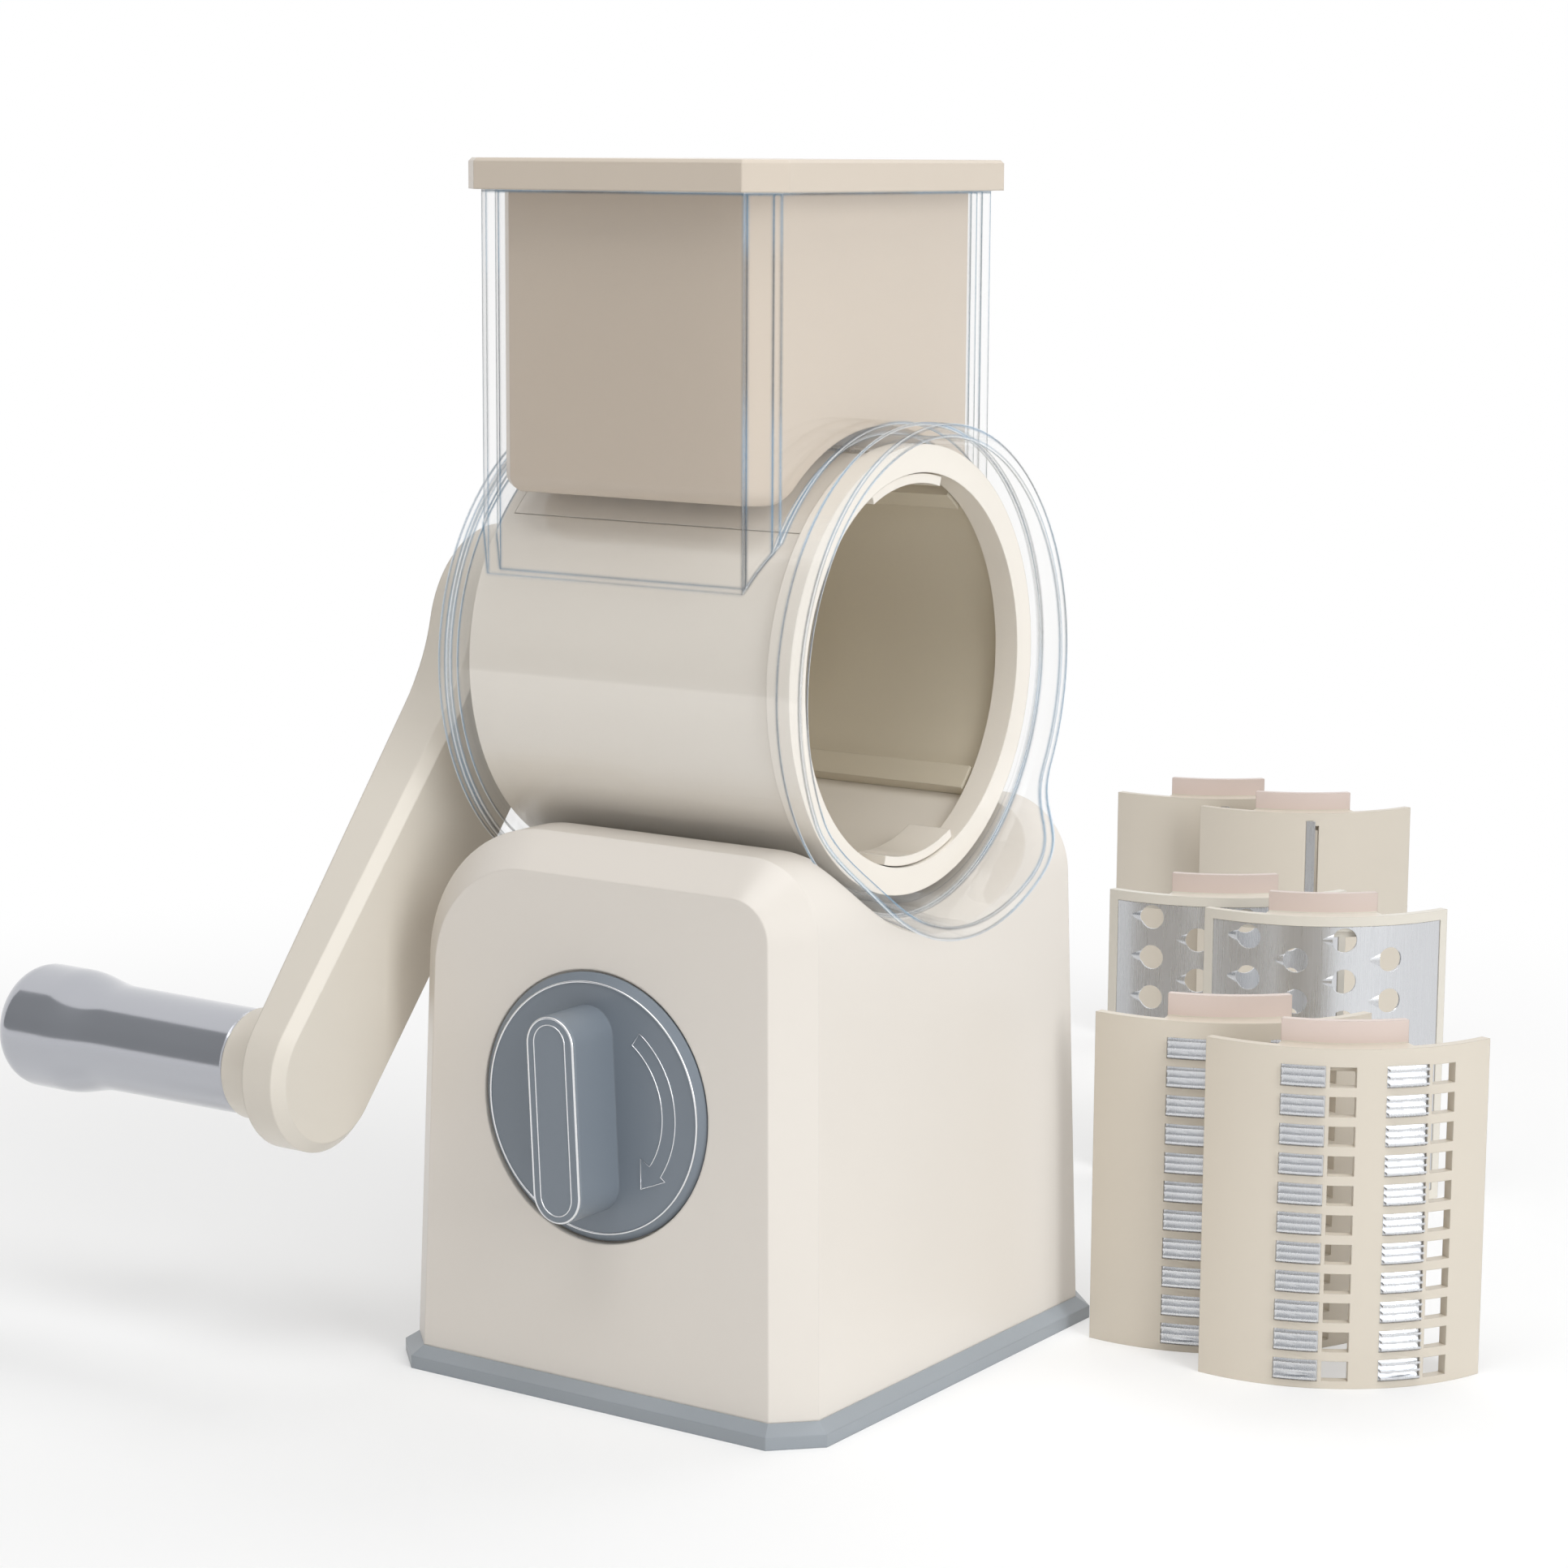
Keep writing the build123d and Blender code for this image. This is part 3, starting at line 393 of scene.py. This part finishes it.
# the knob's lines, millimetres and degrees; height is its middle, the faces are places along Y. The rim line
# and the bar's edge line are silver lines standing for painted highlights on the face's rim and on the bar's
# chamfer; the bar outline and the arrow are its silver print
knob = {"height": 70.5, "face": -65.3, "barFace": -80.0, "barTurn": 3.0, "lineWidth": 0.34,
        "rimRadius": 29.4, "rimWidth": 0.6, "rimSteps": 144, "outline": (44.2, 8.7),
        "barEdgeHighlight": (47.2, 12.6), "edgeWidth": 0.7, "edgeSink": 0.35, "roundSteps": 20,
        "arrowRadii": (23.5, 19.9), "arrowTurns": (55.0, -34.5), "arrowSteps": 24,
        "arrowHead": ((20.7, -14.2), (13.9, -17.0), (13.8, -9.7))}


def onKnob(points, face):
    return [(x, face, knob["height"] + z) for x, z in points]


def arc(lift, radius, first, last, steps):
    turns = [math.radians(first + (last - first) * step / steps) for step in range(steps + 1)]
    return [(radius * math.cos(turn), lift + radius * math.sin(turn)) for turn in turns]


def barOutline(length, width):
    reach = (length - width) / 2
    upper = arc(reach, width / 2, 0.0, 180.0, knob["roundSteps"])
    lower = arc(-reach, width / 2, 180.0, 360.0, knob["roundSteps"])
    turn = math.radians(knob["barTurn"])
    return [(x * math.cos(turn) - z * math.sin(turn), x * math.sin(turn) + z * math.cos(turn))
            for x, z in upper + lower]


def arrowOutline():
    outer, inner = knob["arrowRadii"]
    first, last = knob["arrowTurns"]
    outside = arc(0.0, outer, first, last, knob["arrowSteps"])
    inside = arc(0.0, inner, last, first, knob["arrowSteps"])
    return outside + list(knob["arrowHead"]) + inside


rim = arc(0.0, knob["rimRadius"], 0.0, 360.0, knob["rimSteps"])[:-1]  # its last point is its first
edgeFace = knob["barFace"] + knob["edgeSink"]
# painted highlight: a silver line along the face's rim
trimLine("knobRimHighlight", onKnob(rim, knob["face"]), knob["rimWidth"], "knob")
trimLine("barOutline", onKnob(barOutline(*knob["outline"]), knob["barFace"]), knob["lineWidth"], "knob")
# painted highlight: a silver line on the bar's chamfer
trimLine("barEdgeHighlight", onKnob(barOutline(*knob["barEdgeHighlight"]), edgeFace), knob["edgeWidth"], "knob")
trimLine("knobArrow", onKnob(arrowOutline(), knob["face"]), knob["lineWidth"], "knob")
print("knob lines")


def areaLight(name, look):
    light = bpy.data.lights.new(name, "AREA")
    light.shape = "RECTANGLE"
    light.size, light.size_y = look["size"]
    light.energy = look["power"]
    light.color = look.get("colour", (1.0, 1.0, 1.0))
    lamp = addPiece(name, light)
    lamp.location = look["place"]
    aim = Vector(look["target"]) - Vector(look["place"])
    lamp.rotation_euler = aim.to_track_quat("-Z", "Y").to_euler()


areaLight("keyLight", {"size": (0.6, 1.2), "power": 12.0, "colour": (0.97, 0.99, 1.0),
                       "place": (1.45, -0.4, 0.8), "target": (0, 0, 0.14)})
areaLight("topLight", {"size": (1.6, 0.8), "power": 11.0, "place": (0.3, -0.6, 1.7), "target": (0, 0, 0)})
areaLight("backLight", {"size": (1.0, 0.6), "power": 7.0, "place": (0.0, 0.7, 1.6), "target": (0, 0, 0.14)})
areaLight("fillLight", {"size": (1.2, 1.2), "power": 0.9, "colour": (1.0, 0.80, 0.60),
                        "place": (-0.7, -1.6, 0.7), "target": (0, 0, 0.14)})
print("lights")

# strengths: 1 is white; near is the backdrop's share in the floor beside the object
studio = {"floor": 0.95, "floorRoughness": 0.95, "floorHalf": 8.0, "near": 0.34, "shadowReach": (0.22, 0.60),
          "world": 0.35, "backdrop": 1.0, "card": 0.29, "cardColour": (0.92, 0.96, 1.0),
          "cardSize": (1.7, 1.25), "cardLift": 0.01, "cardDistance": 1.1, "cardTurn": 34.0}


# 1 for what the camera sees, also in gloss and through clear pieces
def seenRays(tree):
    path = tree.nodes.new("ShaderNodeLightPath")
    seen = Field(tree, path.outputs["Is Camera Ray"]) + Field(tree, path.outputs["Is Glossy Ray"])
    seen = seen + Field(tree, path.outputs["Is Transmission Ray"])
    return seen > 0.5


def flatPiece(name, corners, material):
    mesh = bpy.data.meshes.new(name)
    mesh.from_pydata(corners, [], [(0, 1, 2, 3)])
    mesh.materials.append(material)
    return addPiece(name, mesh)


# pale floor that fades to the backdrop's white away from the object
def floorMaterial():
    finish = Finish("paleFloor")
    finish.setup(Base_Color=shade((studio["floor"],) * 3), Roughness=studio["floorRoughness"])
    glow = finish.add("ShaderNodeEmission", Strength=studio["backdrop"])
    distance = finish.add("ShaderNodeVectorMath", {"operation": "LENGTH"}, Vector=finish.place)
    fade = finish.ramp(distance.outputs["Value"], *studio["shadowReach"])
    amount = (studio["near"] + fade * (1.0 - studio["near"])) * seenRays(finish.tree)
    mix = finish.add("ShaderNodeMixShader", Fac=amount)
    finish.give(mix.inputs[1], finish.shader.outputs["BSDF"])
    finish.give(mix.inputs[2], glow.outputs["Emission"])
    finish.give(finish.tree.nodes["Material Output"].inputs["Surface"], mix.outputs["Shader"])
    return finish.material


half = studio["floorHalf"]
floorCorners = [(-half, -half, 0), (half, -half, 0), (half, half, 0), (-half, half, 0)]
floor = flatPiece("floor", floorCorners, floorMaterial())


# grey card at the left front, seen only in gloss
def greyCard():
    width, height = studio["cardSize"]
    turn = math.radians(studio["cardTurn"])
    middle = Vector((-math.sin(turn), -math.cos(turn), 0.0)) * studio["cardDistance"]
    side = Vector((math.cos(turn), -math.sin(turn), 0.0)) * (width / 2)
    low, high = Vector((0.0, 0.0, studio["cardLift"])), Vector((0.0, 0.0, height))
    corners = [middle - side + low, middle + side + low, middle + side + high, middle - side + high]
    finish = Finish("greyCard")
    finish.setup(Base_Color=(0.0, 0.0, 0.0, 1.0), Emission_Color=shade(studio["cardColour"]))
    finish.setup(Emission_Strength=studio["card"])
    card = flatPiece("greyCard", corners, finish.material)
    card.visible_camera = False
    card.visible_diffuse = False
    card.visible_transmission = False
    card.visible_shadow = False


greyCard()

world = bpy.data.worlds.new("studio")
world.use_nodes = True
bpy.context.scene.world = world
tree = world.node_tree
white = shade((1.0, 1.0, 1.0))
soft = tree.nodes["Background"]
soft.inputs["Color"].default_value = white
soft.inputs["Strength"].default_value = studio["world"]
backdrop = tree.nodes.new("ShaderNodeBackground")
backdrop.inputs["Color"].default_value = white
backdrop.inputs["Strength"].default_value = studio["backdrop"]
choice = tree.nodes.new("ShaderNodeMixShader")
tree.links.new(seenRays(tree).socket, choice.inputs["Fac"])
tree.links.new(soft.outputs["Background"], choice.inputs[1])
tree.links.new(backdrop.outputs["Background"], choice.inputs[2])
tree.links.new(choice.outputs["Shader"], tree.nodes["World Output"].inputs["Surface"])
print("floor and backdrop")

# the camera in degrees and metres, its lens and sensor in millimetres
view = {"azimuth": 34.160, "elevation": 9.452, "roll": 0.338, "place": (0.5114, -0.7414, 0.2869),
        "lens": 87.33, "sensor": 36.0, "nearest": 0.01}
azimuth, elevation, roll = (math.radians(view[key]) for key in ("azimuth", "elevation", "roll"))
back = Vector((math.sin(azimuth) * math.cos(elevation), -math.cos(azimuth) * math.cos(elevation),
               math.sin(elevation)))
right = Vector((math.cos(azimuth), math.sin(azimuth), 0.0))
up = back.cross(right)
across = right * math.cos(roll) + up * math.sin(roll)
upward = up * math.cos(roll) - right * math.sin(roll)
cameraData = bpy.data.cameras.new("camera")
cameraData.sensor_width = view["sensor"]
cameraData.lens = view["lens"]
cameraData.clip_start = view["nearest"]
camera = addPiece("camera", cameraData)
turned = Matrix((across, upward, back)).transposed().to_4x4()
camera.matrix_world = Matrix.Translation(view["place"]) @ turned
bpy.context.scene.camera = camera
bpy.context.scene.view_settings.view_transform = "Standard"
print("camera")
